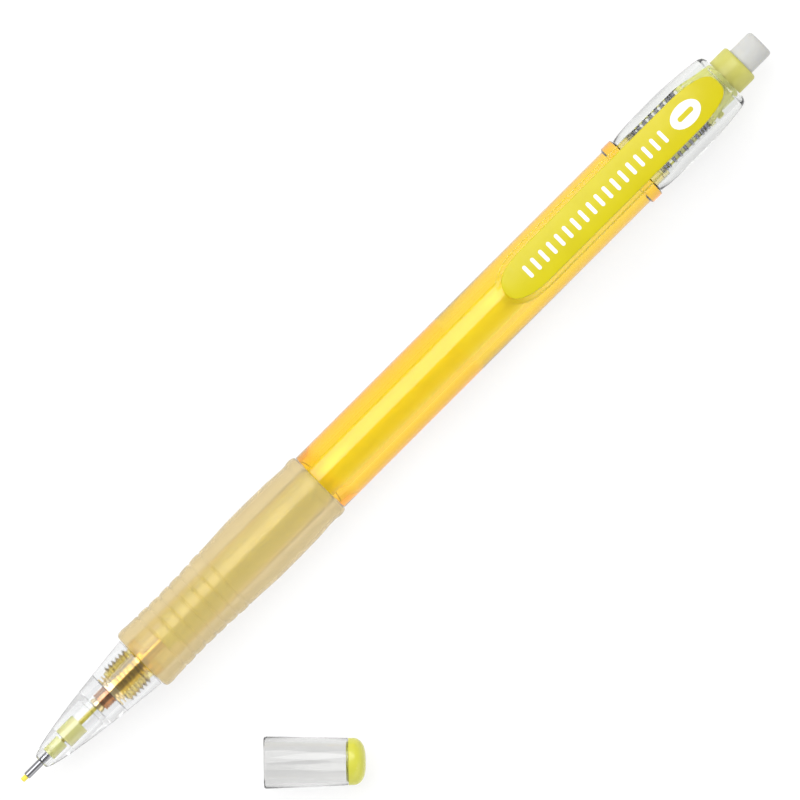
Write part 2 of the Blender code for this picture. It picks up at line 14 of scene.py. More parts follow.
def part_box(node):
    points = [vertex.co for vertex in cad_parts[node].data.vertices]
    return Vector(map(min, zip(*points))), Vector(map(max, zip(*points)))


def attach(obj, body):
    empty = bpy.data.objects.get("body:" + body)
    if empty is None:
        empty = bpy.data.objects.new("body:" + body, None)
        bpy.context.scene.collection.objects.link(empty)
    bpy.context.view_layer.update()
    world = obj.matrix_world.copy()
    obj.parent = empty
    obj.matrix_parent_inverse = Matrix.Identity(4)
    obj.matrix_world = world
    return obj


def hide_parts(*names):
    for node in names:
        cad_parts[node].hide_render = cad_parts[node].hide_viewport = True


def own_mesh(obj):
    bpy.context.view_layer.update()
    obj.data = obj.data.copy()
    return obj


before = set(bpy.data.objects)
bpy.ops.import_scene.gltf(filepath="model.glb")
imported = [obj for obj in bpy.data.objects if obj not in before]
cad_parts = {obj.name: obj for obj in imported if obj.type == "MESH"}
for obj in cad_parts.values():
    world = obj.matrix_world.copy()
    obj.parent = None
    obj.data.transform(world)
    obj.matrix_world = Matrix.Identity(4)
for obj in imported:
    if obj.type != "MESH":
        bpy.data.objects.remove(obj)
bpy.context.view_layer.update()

MM = 0.001
TURN = math.tau
TIP_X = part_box("lead")[0].x
AXIS_Z = (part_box("grip")[0].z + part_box("grip")[1].z) / 2
PENCIL = Matrix.Translation((TIP_X, 0.0, AXIS_Z))
FINE, MEDIUM, COARSE = 128, 96, 48     # sides of a turned piece


# ---------------------------------------------------------------- camera, light and floor

def look_matrix(right, up, place):
    """World matrix of a camera or lamp from its right and up directions."""
    back = right.cross(up)
    turned_to = Matrix((right, up, back)).transposed().to_4x4()
    return Matrix.Translation(place) @ turned_to


def add_camera():
    """Straight above, rolled so that the pencil runs up to the right, with a slight tilt across it."""
    distance, sensor, view_width = 2.5, 36.0, 0.10725
    roll, tilt = math.radians(45.0), math.radians(2.3)
    target = Vector((0.02587, 0.000265, AXIS_Z))
    along = Vector((1.0, 0.0, 0.0))
    across = Vector((0.0, math.cos(tilt), math.sin(tilt)))
    right = along * math.cos(roll) - across * math.sin(roll)
    up = along * math.sin(roll) + across * math.cos(roll)
    data = bpy.data.cameras.new("camera")
    data.sensor_width = sensor
    data.lens = sensor * distance / view_width
    data.clip_start, data.clip_end = 0.01, 10.0
    camera = bpy.data.objects.new("camera", data)
    camera.matrix_world = look_matrix(right, up, target + right.cross(up) * distance)
    bpy.context.scene.collection.objects.link(camera)
    bpy.context.scene.camera = camera


def add_softbox(name, direction_deg, distance, width, length, power):
    """Area lamp over the YZ plane, at an angle from straight up towards +Y, facing the pencil."""
    angle = math.radians(direction_deg)
    data = bpy.data.lights.new(name, "AREA")
    data.shape = "RECTANGLE"
    data.size, data.size_y = length, width
    data.energy = power
    lamp = bpy.data.objects.new(name, data)
    right = Vector((1.0, 0.0, 0.0))
    back = Vector((0.0, math.sin(angle), math.cos(angle)))
    up = back.cross(right)
    lamp.matrix_world = look_matrix(right, up, Vector((0.02, 0.0, 0.0)) + back * distance)
    bpy.context.scene.collection.objects.link(lamp)


def add_sky():
    """Fill light: dim overhead on the -Y side and at both ends, pale towards the table and on the +Y side."""
    world = bpy.data.worlds.new("studio")
    bpy.context.scene.world = world
    world.use_nodes = True
    nodes, links = world.node_tree.nodes, world.node_tree.links
    background = nodes["Background"]
    split = nodes.new("ShaderNodeSeparateXYZ")
    links.new(nodes.new("ShaderNodeTexCoord").outputs["Generated"], split.inputs["Vector"])

    lean = nodes.new("ShaderNodeMath")
    lean.operation = "ARCTAN2"
    links.new(split.outputs["Y"], lean.inputs[0])
    links.new(split.outputs["Z"], lean.inputs[1])
    place = nodes.new("ShaderNodeMapRange")
    place.inputs["From Min"].default_value = -math.pi
    place.inputs["From Max"].default_value = math.pi
    links.new(lean.outputs["Value"], place.inputs["Value"])
    ramp = nodes.new("ShaderNodeValToRGB")
    bands = ((-90, 1.7), (-60, 1.7), (-46, 0.5), (-4, 0.40), (0, 0.55), (60, 0.6), (90, 1.0))
    for number, (degrees, level) in enumerate(bands):
        spots = ramp.color_ramp.elements
        spot = spots[number] if number < 2 else spots.new(1.0)
        spot.position = degrees / 360 + 0.5
        spot.color = (level, level, level, 1.0)
    links.new(place.outputs["Result"], ramp.inputs["Fac"])

    sideways = nodes.new("ShaderNodeMath")
    sideways.operation = "ABSOLUTE"
    links.new(split.outputs["X"], sideways.inputs[0])
    ends = nodes.new("ShaderNodeMapRange")
    ends.interpolation_type = "SMOOTHSTEP"
    for socket, value in (("From Min", 0.5), ("From Max", 0.75), ("To Min", 1.0), ("To Max", 0.45)):
        ends.inputs[socket].default_value = value
    links.new(sideways.outputs["Value"], ends.inputs["Value"])
    links.new(ramp.outputs["Color"], background.inputs["Color"])
    links.new(ends.outputs["Result"], background.inputs["Strength"])

    plain = nodes.new("ShaderNodeBackground")
    choose = nodes.new("ShaderNodeMixShader")
    links.new(nodes.new("ShaderNodeLightPath").outputs["Is Camera Ray"], choose.inputs["Fac"])
    links.new(background.outputs["Background"], choose.inputs[1])
    links.new(plain.outputs["Background"], choose.inputs[2])
    plain.inputs["Color"].default_value = (1.0, 1.0, 1.0, 1.0)
    links.new(choose.outputs["Shader"], nodes["World Output"].inputs["Surface"])


def add_surroundings():
    """Pale lit table, fill light from the sky and one large softbox on the +Y side."""
    scene = bpy.context.scene
    scene.view_settings.view_transform = "Standard"
    add_sky()
    add_softbox("softbox", 27.0, 0.70, 0.60, 0.80, 5.4)

    mesh = bpy.data.meshes.new("floor")
    half, drop = 1.5, 0.00003            # drop keeps the floor just under what rests on it
    corners = [(-half, -half, -drop), (half, -half, -drop), (half, half, -drop), (-half, half, -drop)]
    mesh.from_pydata(corners, [], [(0, 1, 2, 3)])
    floor = bpy.data.objects.new("floor", mesh)
    scene.collection.objects.link(floor)
    finish, nodes, links, shader = new_material("floor_paper")
    shader.inputs["Roughness"].default_value = 0.9
    shader.inputs["Specular IOR Level"].default_value = 0.1
    tint(nodes, links, shader, (0.19, 0.19, 0.19), (0.21, 0.21, 0.21), 60.0)
    shader.inputs["Emission Color"].default_value = (1.0, 1.0, 1.0, 1.0)
    shader.inputs["Emission Strength"].default_value = 0.82
    mesh.materials.append(finish)


# ---------------------------------------------------------------- materials

def new_material(name):
    """A node material with only its shader and output."""
    made = bpy.data.materials.new(name)
    made.use_nodes = True
    nodes, links = made.node_tree.nodes, made.node_tree.links
    return made, nodes, links, nodes["Principled BSDF"]


def place_nodes(nodes, links, stretch=(1.0, 1.0, 1.0)):
    """Object coordinates in metres, with a scale along each axis."""
    source = nodes.new("ShaderNodeTexCoord")
    mapping = nodes.new("ShaderNodeMapping")
    mapping.inputs["Scale"].default_value = stretch
    links.new(source.outputs["Object"], mapping.inputs["Vector"])
    return mapping.outputs["Vector"]


def noise(nodes, links, scale, detail=2.0, stretch=(1.0, 1.0, 1.0)):
    """A noise texture's value output; scale is in cells per metre."""
    made = nodes.new("ShaderNodeTexNoise")
    made.inputs["Scale"].default_value = scale
    made.inputs["Detail"].default_value = detail
    links.new(place_nodes(nodes, links, stretch), made.inputs["Vector"])
    return made.outputs["Fac"]


def spread(nodes, links, value, low, high):
    """Stretch a noise value, which stays near its middle, to a range."""
    made = nodes.new("ShaderNodeMapRange")
    made.inputs["From Min"].default_value = 0.3
    made.inputs["From Max"].default_value = 0.7
    made.inputs["To Min"].default_value = low
    made.inputs["To Max"].default_value = high
    links.new(value, made.inputs["Value"])
    return made.outputs["Result"]


def tint(nodes, links, shader, first, second, scale, stretch=(1.0, 1.0, 1.0)):
    """Base colour that drifts between two colours."""
    mix = nodes.new("ShaderNodeMix")
    mix.data_type = "RGBA"
    mix.inputs["A"].default_value = (*first, 1.0)
    mix.inputs["B"].default_value = (*second, 1.0)
    drift = spread(nodes, links, noise(nodes, links, scale, 3.0, stretch), 0.0, 1.0)
    links.new(drift, mix.inputs["Factor"])
    links.new(mix.outputs["Result"], shader.inputs["Base Color"])


def uneven_gloss(nodes, links, shader, low, high, scale):
    """Roughness that drifts between two values."""
    links.new(spread(nodes, links, noise(nodes, links, scale), low, high),
              shader.inputs["Roughness"])


def relief(nodes, links, shader, value, depth):
    """Bump from a value; depth is in metres."""
    bump = nodes.new("ShaderNodeBump")
    bump.inputs["Strength"].default_value = 1.0
    bump.inputs["Distance"].default_value = depth
    links.new(value, bump.inputs["Height"])
    links.new(bump.outputs["Normal"], shader.inputs["Normal"])


def plastic(name, first, second, rough, grain_scale=900.0, depth=4e-6, specular=0.5, soften=0.0, glow=0.0):
    """Opaque moulded plastic or rubber with drifting colour, uneven gloss and a fine grain.

    A glow stands in for light that reaches the piece through the clear plastic round it.
    """
    made, nodes, links, shader = new_material(name)
    tint(nodes, links, shader, first, second, 260.0)
    uneven_gloss(nodes, links, shader, rough[0], rough[1], 1500.0)
    relief(nodes, links, shader, noise(nodes, links, grain_scale, 3.0), depth)
    shader.inputs["Specular IOR Level"].default_value = specular
    if glow:
        shader.inputs["Emission Color"].default_value = (*second, 1.0)
        shader.inputs["Emission Strength"].default_value = glow
    if soften:
        shader.inputs["Subsurface Weight"].default_value = soften
        shader.inputs["Subsurface Radius"].default_value = (0.0012, 0.0009, 0.0005)
        shader.inputs["Subsurface Scale"].default_value = 1.0
    return made


FLOW_RIPPLES = (350.0, 500.0, 500.0)    # ripples per metre along each axis


def clear(name, first, second, ior, rough, ripple_depth, absorb=None, density=0.0):
    """Clear or tinted see-through plastic with faint flow ripples from moulding; a grey base colour and grey
    absorption on a clear piece are painted shade.
    """
    made, nodes, links, shader = new_material(name)
    tint(nodes, links, shader, first, second, 220.0)
    uneven_gloss(nodes, links, shader, rough[0], rough[1], 700.0)
    relief(nodes, links, shader, noise(nodes, links, 1.0, 1.0, FLOW_RIPPLES), ripple_depth)
    shader.inputs["IOR"].default_value = ior
    shader.inputs["Specular IOR Level"].default_value = 0.5
    shader.inputs["Transmission Weight"].default_value = 1.0
    if absorb:
        volume = nodes.new("ShaderNodeVolumeAbsorption")
        volume.inputs["Color"].default_value = (*absorb, 1.0)
        volume.inputs["Density"].default_value = density
        links.new(volume.outputs["Volume"], nodes["Material Output"].inputs["Volume"])
    return made


def frosted_skin(name, first, second):
    """Milky see-through rubber: its outer skin scatters a third of the light, its bore none."""
    made, nodes, links, shader = new_material(name)
    tint(nodes, links, shader, first, second, 220.0)
    relief(nodes, links, shader, noise(nodes, links, 1800.0, 2.0), 1e-6)
    shader.inputs["IOR"].default_value = 1.36
    shader.inputs["Specular IOR Level"].default_value = 0.15
    shifted = nodes.new("ShaderNodeVectorMath")
    shifted.operation = "SUBTRACT"
    shifted.inputs[1].default_value = (0.0, 0.0, AXIS_Z)
    links.new(place_nodes(nodes, links), shifted.inputs[0])
    flat = nodes.new("ShaderNodeVectorMath")
    flat.operation = "MULTIPLY"
    flat.inputs[1].default_value = (0.0, 1.0, 1.0)
    links.new(shifted.outputs["Vector"], flat.inputs[0])
    radius = nodes.new("ShaderNodeVectorMath")
    radius.operation = "LENGTH"
    links.new(flat.outputs["Vector"], radius.inputs[0])
    skin_colour = nodes.new("ShaderNodeMix")
    skin_colour.data_type = "RGBA"
    skin_colour.inputs["A"].default_value = (1.0, 1.0, 1.0, 1.0)
    links.new(shader.inputs["Base Color"].links[0].from_socket, skin_colour.inputs["B"])
    bore_ends, skin_starts = 3.5 * MM, 4.0 * MM
    for socket, bore, skin in ((shader.inputs["Transmission Weight"], 1.0, 0.68),
                               (shader.inputs["Roughness"], 0.04, 0.2),
                               (skin_colour.inputs["Factor"], 0.0, 1.0)):
        across = nodes.new("ShaderNodeMapRange")
        for end, value in (("From Min", bore_ends), ("From Max", skin_starts),
                           ("To Min", bore), ("To Max", skin)):
            across.inputs[end].default_value = value
        links.new(radius.outputs["Value"], across.inputs["Value"])
        links.new(across.outputs["Result"], socket)
    links.new(skin_colour.outputs["Result"], shader.inputs["Base Color"])
    return made


ROUND_MARKS = (1.0, 0.02, 0.02)         # marks drawn out round the X axis
LONG_MARKS = (0.02, 1.0, 1.0)           # marks drawn out along the X axis


def metal(name, first, second, rough, turning=9000.0, depth=1.5e-6, stretch=ROUND_MARKS):
    """Bare metal with fine marks round it from turning, or along it from drawing."""
    made, nodes, links, shader = new_material(name)
    tint(nodes, links, shader, first, second, 1200.0, stretch)
    marks = noise(nodes, links, turning, 2.0, stretch)
    links.new(spread(nodes, links, marks, rough[0], rough[1]), shader.inputs["Roughness"])
    relief(nodes, links, shader, marks, depth)
    shader.inputs["Metallic"].default_value = 1.0
    return made


FINISHES = {
    # The grey base colours and grey absorption of the clear nose, crown and cap are painted shade: they
    # darken what is seen through them in place of dimmer light behind. The amber's absorption is its own
    # colour.
    "clear_nose": clear("clear_nose", (0.95, 0.955, 0.96), (0.97, 0.975, 0.98), 1.49, (0.01, 0.04), 6e-6,
                        (0.1, 0.1, 0.1), 50.0),
    "clear_crown": clear("clear_crown", (0.92, 0.93, 0.92), (0.94, 0.95, 0.94), 1.3, (0.02, 0.05), 6e-6,
                         (0.1, 0.1, 0.1), 40.0),
    "clear_clip": clear("clear_clip", (0.98, 0.98, 0.93), (1.0, 1.0, 0.95), 1.2, (0.01, 0.03), 3e-6),
    "clear_cap": clear("clear_cap", (0.93, 0.93, 0.925), (0.95, 0.95, 0.945), 1.5, (0.02, 0.06), 8e-6,
                       (0.1, 0.1, 0.1), 190.0),
    "amber_plastic": clear("amber_plastic", (1.0, 0.975, 0.84), (1.0, 0.99, 0.90), 1.50, (0.01, 0.04), 3e-6,
                           (0.996, 0.878, 0.04), 900.0),
    "frosted_rubber": frosted_skin("frosted_rubber", (0.79, 0.64, 0.34), (0.82, 0.67, 0.37)),
    "brass": metal("brass", (0.74, 0.57, 0.26), (0.84, 0.68, 0.36), (0.06, 0.16)),
    "copper_brass": metal("copper_brass", (0.40, 0.17, 0.06), (0.62, 0.32, 0.14), (0.08, 0.18), 7000.0, 6e-6),
    "steel": metal("steel", (0.25, 0.25, 0.27), (0.33, 0.33, 0.34), (0.06, 0.12), 9000.0, 1e-6, LONG_MARKS),
    "spring_steel": metal("spring_steel", (0.16, 0.16, 0.20), (0.26, 0.26, 0.31), (0.18, 0.32), 9000.0, 1e-6,
                          (1.0, 1.0, 1.0)),
    "yellow_plastic": plastic("yellow_plastic", (0.90, 0.90, 0.05), (0.94, 0.93, 0.07), (0.28, 0.4),
                              soften=0.1, glow=0.2),
    "yellow_inlay": plastic("yellow_inlay", (0.58, 0.50, 0.001), (0.61, 0.53, 0.002), (0.32, 0.44),
                            specular=0.35),
    "lime_plastic": plastic("lime_plastic", (0.50, 0.48, 0.10), (0.54, 0.52, 0.12), (0.35, 0.5), 2600.0, 8e-6,
                            soften=0.1),
    "lime_gloss": plastic("lime_gloss", (0.59, 0.58, 0.055), (0.64, 0.63, 0.075), (0.18, 0.28), 900.0, 2e-6,
                          soften=0.1),
    # Brighter copy of lime_plastic for the button's stem and lug inside the crown: painted light that stands
    # in for the light the clip's panel shades off them.
    "lime_stem_painted_light": plastic("lime_stem_painted_light", (0.90, 0.90, 0.26), (0.93, 0.93, 0.30), (0.3, 0.4), soften=0.2),
    "soft_rubber": plastic("soft_rubber", (0.94, 0.90, 0.33), (0.96, 0.93, 0.37), (0.14, 0.22), soften=0.2),
    "pale_plastic": plastic("pale_plastic", (0.88, 0.86, 0.30), (0.92, 0.90, 0.34), (0.14, 0.22),
                            soften=0.15),
    "lead_colour": plastic("lead_colour", (0.80, 0.68, 0.06), (0.88, 0.76, 0.10), (0.45, 0.65), 5200.0,
                           1.2e-5),
    "white_vinyl": plastic("white_vinyl", (0.49, 0.49, 0.47), (0.54, 0.54, 0.52), (0.5, 0.7), 2200.0, 1.2e-5,
                           soften=0.2),
    "white_ink": plastic("white_ink", (0.84, 0.84, 0.84), (0.90, 0.90, 0.90), (0.35, 0.5), 3000.0, 1e-6),
}


# ---------------------------------------------------------------- mesh work

MERGE_DISTANCE = 1e-8


def finish_mesh(name, bm, angle=30.0):
    """Turn a bmesh into a smooth shaded mesh whose faces point out."""
    bmesh.ops.remove_doubles(bm, verts=bm.verts, dist=MERGE_DISTANCE)
    bmesh.ops.recalc_face_normals(bm, faces=bm.faces)
    mesh = bpy.data.meshes.new(name)
    bm.to_mesh(mesh)
    bm.free()
    mesh.shade_smooth()
    mesh.set_sharp_from_angle(angle=math.radians(angle))
    return mesh


def add_piece(name, mesh, finish, body, nodes):
    """Put a finished mesh in the scene, riding on a body in place of its CAD nodes."""
    piece = bpy.data.objects.new(name, mesh)
    bpy.context.scene.collection.objects.link(piece)
    mesh.materials.clear()
    mesh.materials.append(FINISHES[finish])
    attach(piece, body)
    if nodes:
        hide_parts(*nodes)
    return piece


FILLET_STEPS, STRAIGHT_ENOUGH = 5, math.radians(150.0)


def filleted(outline, closed, edge):
    """Round the corners of a (station, radius) outline; a third value on a point is its own rounding."""
    points = []
    count = len(outline)
    for i, point in enumerate(outline):
        here = Vector(point[:2])
        size = point[2] if len(point) > 2 else edge
        if size == 0.0 or (not closed and i in (0, count - 1)):
            points.append(here)
            continue
        before = Vector(outline[i - 1][:2]) - here
        after = Vector(outline[(i + 1) % count][:2]) - here
        bend = before.angle(after)
        if bend > STRAIGHT_ENOUGH:
            points.append(here)
            continue
        reach = min(size / math.tan(bend / 2), 0.45 * before.length, 0.45 * after.length)
        start, end = here + before.normalized() * reach, here + after.normalized() * reach
        for k in range(FILLET_STEPS + 1):
            t = k / FILLET_STEPS
            points.append(start * (1 - t) ** 2 + here * 2 * t * (1 - t) + end * t ** 2)
    return points


def turned_mesh(name, outline, sides, edge=0.04):
    """Revolve an outline about X. One that starts and ends on the axis is solid, others are rings."""
    closed = not (outline[0][1] == 0.0 and outline[-1][1] == 0.0)
    points = filleted(outline, closed, edge)
    bm = bmesh.new()
    rings = []
    for point in points:
        if point.y < 1e-6:
            rings.append([bm.verts.new((point.x * MM, 0.0, 0.0))] * sides)
            continue
        ring = []
        for side in range(sides):
            angle = TURN * side / sides
            ring.append(bm.verts.new((point.x * MM, math.sin(angle) * point.y * MM,
                                      math.cos(angle) * point.y * MM)))
        rings.append(ring)
    pairs = list(zip(rings, rings[1:] + rings[:1])) if closed else list(zip(rings, rings[1:]))
    for one, other in pairs:
        for side in range(sides):
            nxt = (side + 1) % sides
            corners = []
            for vertex in (one[side], one[nxt], other[nxt], other[side]):
                if vertex not in corners:
                    corners.append(vertex)
            if len(corners) > 2:
                bm.faces.new(corners)
    return finish_mesh(name, bm)


def turned(name, outline, finish, body, nodes, sides=MEDIUM, edge=0.04, place=PENCIL):
    """A turned piece on the pencil's axis, or on another."""
    mesh = turned_mesh(name, outline, sides, edge)
    mesh.transform(place)
    return add_piece(name, mesh, finish, body, nodes)


def ring_outline(front, rear, outer, inner):
    """The outline of a plain tube."""
    return [(front, outer), (rear, outer), (rear, inner), (front, inner)]


def eased(points, station):
    """Height at a station on lines that ease in and out of each point."""
    for (s0, h0), (s1, h1) in zip(points, points[1:]):
        if station <= s1:
            share = max(0.0, station - s0) / (s1 - s0)
            return h0 + (h1 - h0) * share * share * (3.0 - 2.0 * share)
    return points[-1][1]


def smooth_line(points, station):
    """Height at a station on a smooth line through the points that never overshoots them."""
    slopes = [(h1 - h0) / (s1 - s0) for (s0, h0), (s1, h1) in zip(points, points[1:])]
    tangents = [slopes[0]]
    for a, b in zip(slopes, slopes[1:]):
        tangents.append(0.0 if a * b <= 0.0 else 2.0 * a * b / (a + b))
    tangents.append(slopes[-1])
    station = min(max(station, points[0][0]), points[-1][0])
    for i, ((s0, h0), (s1, h1)) in enumerate(zip(points, points[1:])):
        if station <= s1:
            span = s1 - s0
            t = (station - s0) / span
            return (h0 * (1 + 2 * t) * (1 - t) ** 2 + tangents[i] * span * t * (1 - t) ** 2
                    + h1 * t * t * (3 - 2 * t) + tangents[i + 1] * span * t * t * (t - 1))
    return points[-1][1]


def steps_between(start, end, count):
    """Evenly spaced stations from start to end, both included."""
    return [start + (end - start) * i / count for i in range(count + 1)]


# ---------------------------------------------------------------- writing end

NOSE_FRONT, NOSE_REAR, NOSE_STEPS = 3.53, 22.45, 40
NOSE_TIP_RADIUS, NOSE_SWELL, NOSE_CURVE = 0.95, 3.05, 0.62
NOSE_CROWDING = 1.4                     # above 1 crowds the rings towards the tip
THREAD_BORE, CLUTCH_BORE, RIB_BORE, RETAINER_BORE, PLUG_BORE, PIPE_BORE = 3.02, 2.0, 1.3, 1.54, 1.05, 0.57
CLEARANCE = 0.05


def make_nose():
    """Clear nose: a slim ogive with a stepped bore for the pipe, its plug, the retainer and the clutch."""
    length = NOSE_REAR - NOSE_FRONT
    outline = []
    for i in range(NOSE_STEPS + 1):
        share = (i / NOSE_STEPS) ** NOSE_CROWDING
        radius = NOSE_TIP_RADIUS + NOSE_SWELL * share ** NOSE_CURVE
        outline.append((NOSE_FRONT + length * share, radius, 0.06 if i in (0, NOSE_STEPS) else 0.0))
    outline += [
        (NOSE_REAR, THREAD_BORE), (16.63, THREAD_BORE, 0.1), (16.63, CLUTCH_BORE, 0.08),
        (13.95, CLUTCH_BORE, 0.15), (13.95, RIB_BORE, 0.1), (13.2, RIB_BORE, 0.1),
        (13.2, RETAINER_BORE), (7.91, RETAINER_BORE), (7.91, PLUG_BORE), (5.03, PLUG_BORE),
        (5.03, PIPE_BORE), (NOSE_FRONT, PIPE_BORE),
    ]
    turned("nose_shell", outline, "clear_nose", "nose", ["nose_cone"], FINE)


def make_writing_parts():
    """Lead, guide pipe, its plug and the soft retainer."""
    turned("lead_stick", [(0.0, 0.0), (0.0, 0.24, 0.06), (0.12, 0.35, 0.06), (60.0, 0.35), (60.0, 0.0)],
           "lead_colour", "lead", ["lead"], COARSE)
    turned("steel_pipe", [(0.84, 0.44), (0.93, 0.52), (7.4, 0.52), (7.4, 0.38), (0.84, 0.38)], "steel",
           "nose", ["guide_pipe"], COARSE, 0.02)
    turned("pipe_plug", [(5.08, 1.0, 0.1), (7.63, 1.0, 0.1), (7.63, 0.57), (5.08, 0.57)], "pale_plastic",
           "nose", ["pipe_holder"])
    turned("soft_retainer", [(7.96, 1.49, 0.12), (10.98, 1.49, 0.12), (10.98, 0.37, 0.1), (7.96, 0.37)],
           "soft_rubber", "nose", ["lead_retainer"])


# ---------------------------------------------------------------- clutch

JAW_COUNT, JAW_SLIT, JAW_STEPS = 3, math.radians(6.0), 20
RING_GROOVES, RING_GROOVE_FIRST, RING_GROOVE_PITCH = 4, 15.1, 0.37
BUSHING_GROOVES, BUSHING_RADIUS = 8, 1.95


def make_jaws():
    """Three brass jaws round the lead."""
    outline = [(13.9, 0.37), (13.9, 0.95, 0.08), (14.1, 1.1, 0.08), (14.45, 1.1, 0.08), (14.85, 0.93),
               (17.0, 0.93), (17.0, 0.37)]
    points = filleted(outline, True, 0.02)
    span = TURN / JAW_COUNT - JAW_SLIT
    for number in range(JAW_COUNT):
        middle = number * TURN / JAW_COUNT
        bm = bmesh.new()
        fans = []
        for step in range(JAW_STEPS + 1):
            angle = middle + span * (step / JAW_STEPS - 0.5)
            fans.append([bm.verts.new((p.x * MM, -math.sin(angle) * p.y * MM, math.cos(angle) * p.y * MM))
                         for p in points])
        for one, other in zip(fans, fans[1:]):
            for i in range(len(points)):
                j = (i + 1) % len(points)
                bm.faces.new((one[i], one[j], other[j], other[i]))
        bm.faces.new(fans[0])
        bm.faces.new(fans[-1])
        mesh = finish_mesh(f"brass_jaw_{number + 1}", bm)
        mesh.transform(PENCIL)
        add_piece(f"brass_jaw_{number + 1}", mesh, "brass", f"jaw_{number + 1}", [f"chuck_jaw_{number + 1}"])


def make_clutch():
    """Reddish ring that squeezes the jaws, and the brass bushing behind it."""
    ring = [(14.87, 1.35, 0.1)]
    for groove in range(RING_GROOVES):
        front = RING_GROOVE_FIRST + groove * RING_GROOVE_PITCH
        ring += [(front, 1.35), (front + 0.05, 1.22), (front + 0.13, 1.22), (front + 0.18, 1.35)]
    ring += [(16.6, 1.35, 0.06), (16.6, 1.1), (14.87, 1.1, 0.05)]
    turned("squeeze_ring", ring, "copper_brass", "ring", ["clutch_ring"], edge=0.01)
    bushing = [(16.68, 2.4, 0.08), (16.95, 2.4), (17.0, 1.7), (17.25, 1.7), (17.3, 2.4), (17.5, 2.4, 0.06),
               (17.5, BUSHING_RADIUS)]
    for groove in range(BUSHING_GROOVES):
        front = THREAD_FRONT + groove * THREAD_PITCH
        bushing += [(front, BUSHING_RADIUS), (front + 0.12, 1.65), (front + 0.22, 1.65),
                    (front + 0.34, BUSHING_RADIUS)]
    bushing += [(23.5, BUSHING_RADIUS), (23.5, 0.98), (16.68, 0.98)]
    turned("brass_bushing", bushing, "brass", "housing", ["chuck_bushing"], FINE, 0.02)


# ---------------------------------------------------------------- barrel and grip

THREAD_FRONT, THREAD_PITCH, THREAD_RIDGES, THREAD_ROOT, THREAD_DEPTH = 18.1, 0.65, 6, 2.45, 0.5
BARREL_RADIUS, COLLAR_RADIUS, REAR_BORE, WIDE_BORE, FRONT_BORE = 4.65, 5.0, 3.3, 3.1, 2.6
GRIP_SEAT_RADIUS, SPIGOT_RADIUS = 3.0, 3.9


def make_barrel():
    """Amber barrel with a screw thread, a seat for the grip, a collar and a rear spigot."""
    thread_rear = THREAD_FRONT + THREAD_PITCH * (THREAD_RIDGES + 0.5)
    outline = [(17.8, THREAD_ROOT - 0.1, 0.05)]
    outline += [(station, THREAD_ROOT, 0.0)
                for station in steps_between(17.95, thread_rear + 0.15, 12 * (THREAD_RIDGES + 1))]
    outline += [
        (22.5, THREAD_ROOT), (22.5, GRIP_SEAT_RADIUS), (56.45, GRIP_SEAT_RADIUS),
        (56.45, BARREL_RADIUS, 0.1), (114.4, BARREL_RADIUS), (114.65, COLLAR_RADIUS, 0.12),
        (116.3, COLLAR_RADIUS, 0.12), (116.5, 4.6), (116.5, SPIGOT_RADIUS), (119.0, SPIGOT_RADIUS),
        (119.0, 3.55), (118.05, 3.55), (118.05, REAR_BORE), (82.8, REAR_BORE), (82.4, WIDE_BORE),
        (59.2, WIDE_BORE), (57.9, FRONT_BORE), (24.1, FRONT_BORE), (24.1, 2.0), (17.8, 2.0),
    ]
    mesh = turned_mesh("barrel_shell", outline, FINE, 0.05)
    for vertex in mesh.vertices:
        station, radius = vertex.co.x / MM, math.hypot(vertex.co.y, vertex.co.z) / MM
        if radius < THREAD_ROOT - 0.001 or not 17.9 < station < thread_rear + 0.1:
            continue
        turns = (station - THREAD_FRONT) / THREAD_PITCH - math.atan2(vertex.co.y, vertex.co.z) / TURN
        ridge = max(0.0, 1.0 - abs(turns % 1.0 - 0.5) * 2.2)
        fade = min(1.0, max(0.0, turns + 0.2) * 2, max(0.0, THREAD_RIDGES + 0.2 - turns) * 2)
        grown = 1.0 + THREAD_DEPTH * min(ridge * 1.1, 1.0) * fade / radius
        vertex.co.y *= grown
        vertex.co.z *= grown
    mesh.transform(PENCIL)
    add_piece("barrel_shell", mesh, "amber_plastic", "housing", ["barrel"])


GRIP_WAIST = ((24.7, 4.78), (30.0, 4.65), (34.0, 4.72), (38.5, 4.93), (44.5, 5.175))
GRIP_HEEL = ((47.5, 5.175), (50.5, 5.13), (54.3, 4.93))
GROOVE_FIRST, GROOVE_PITCH, GROOVE_COUNT, GROOVE_DEPTH, GROOVE_HALF_WIDTH = 26.5, 1.95, 7, 0.13, 0.3


def grip_waist(station):
    """Radius of the ringed front half of the grip: eased waist, fine grooves and slight swells between."""
    radius = eased(GRIP_WAIST, station)
    last = GROOVE_FIRST + (GROOVE_COUNT - 1) * GROOVE_PITCH
    for groove in range(GROOVE_COUNT):
        away = abs(station - GROOVE_FIRST - groove * GROOVE_PITCH) / GROOVE_HALF_WIDTH
        if away < 1.0:
            radius -= GROOVE_DEPTH * 0.5 * (1.0 + math.cos(math.pi * away))
    if GROOVE_FIRST <= station <= last:
        radius += 0.05 * math.sin(math.pi * (station - GROOVE_FIRST) / GROOVE_PITCH) ** 2
    return radius


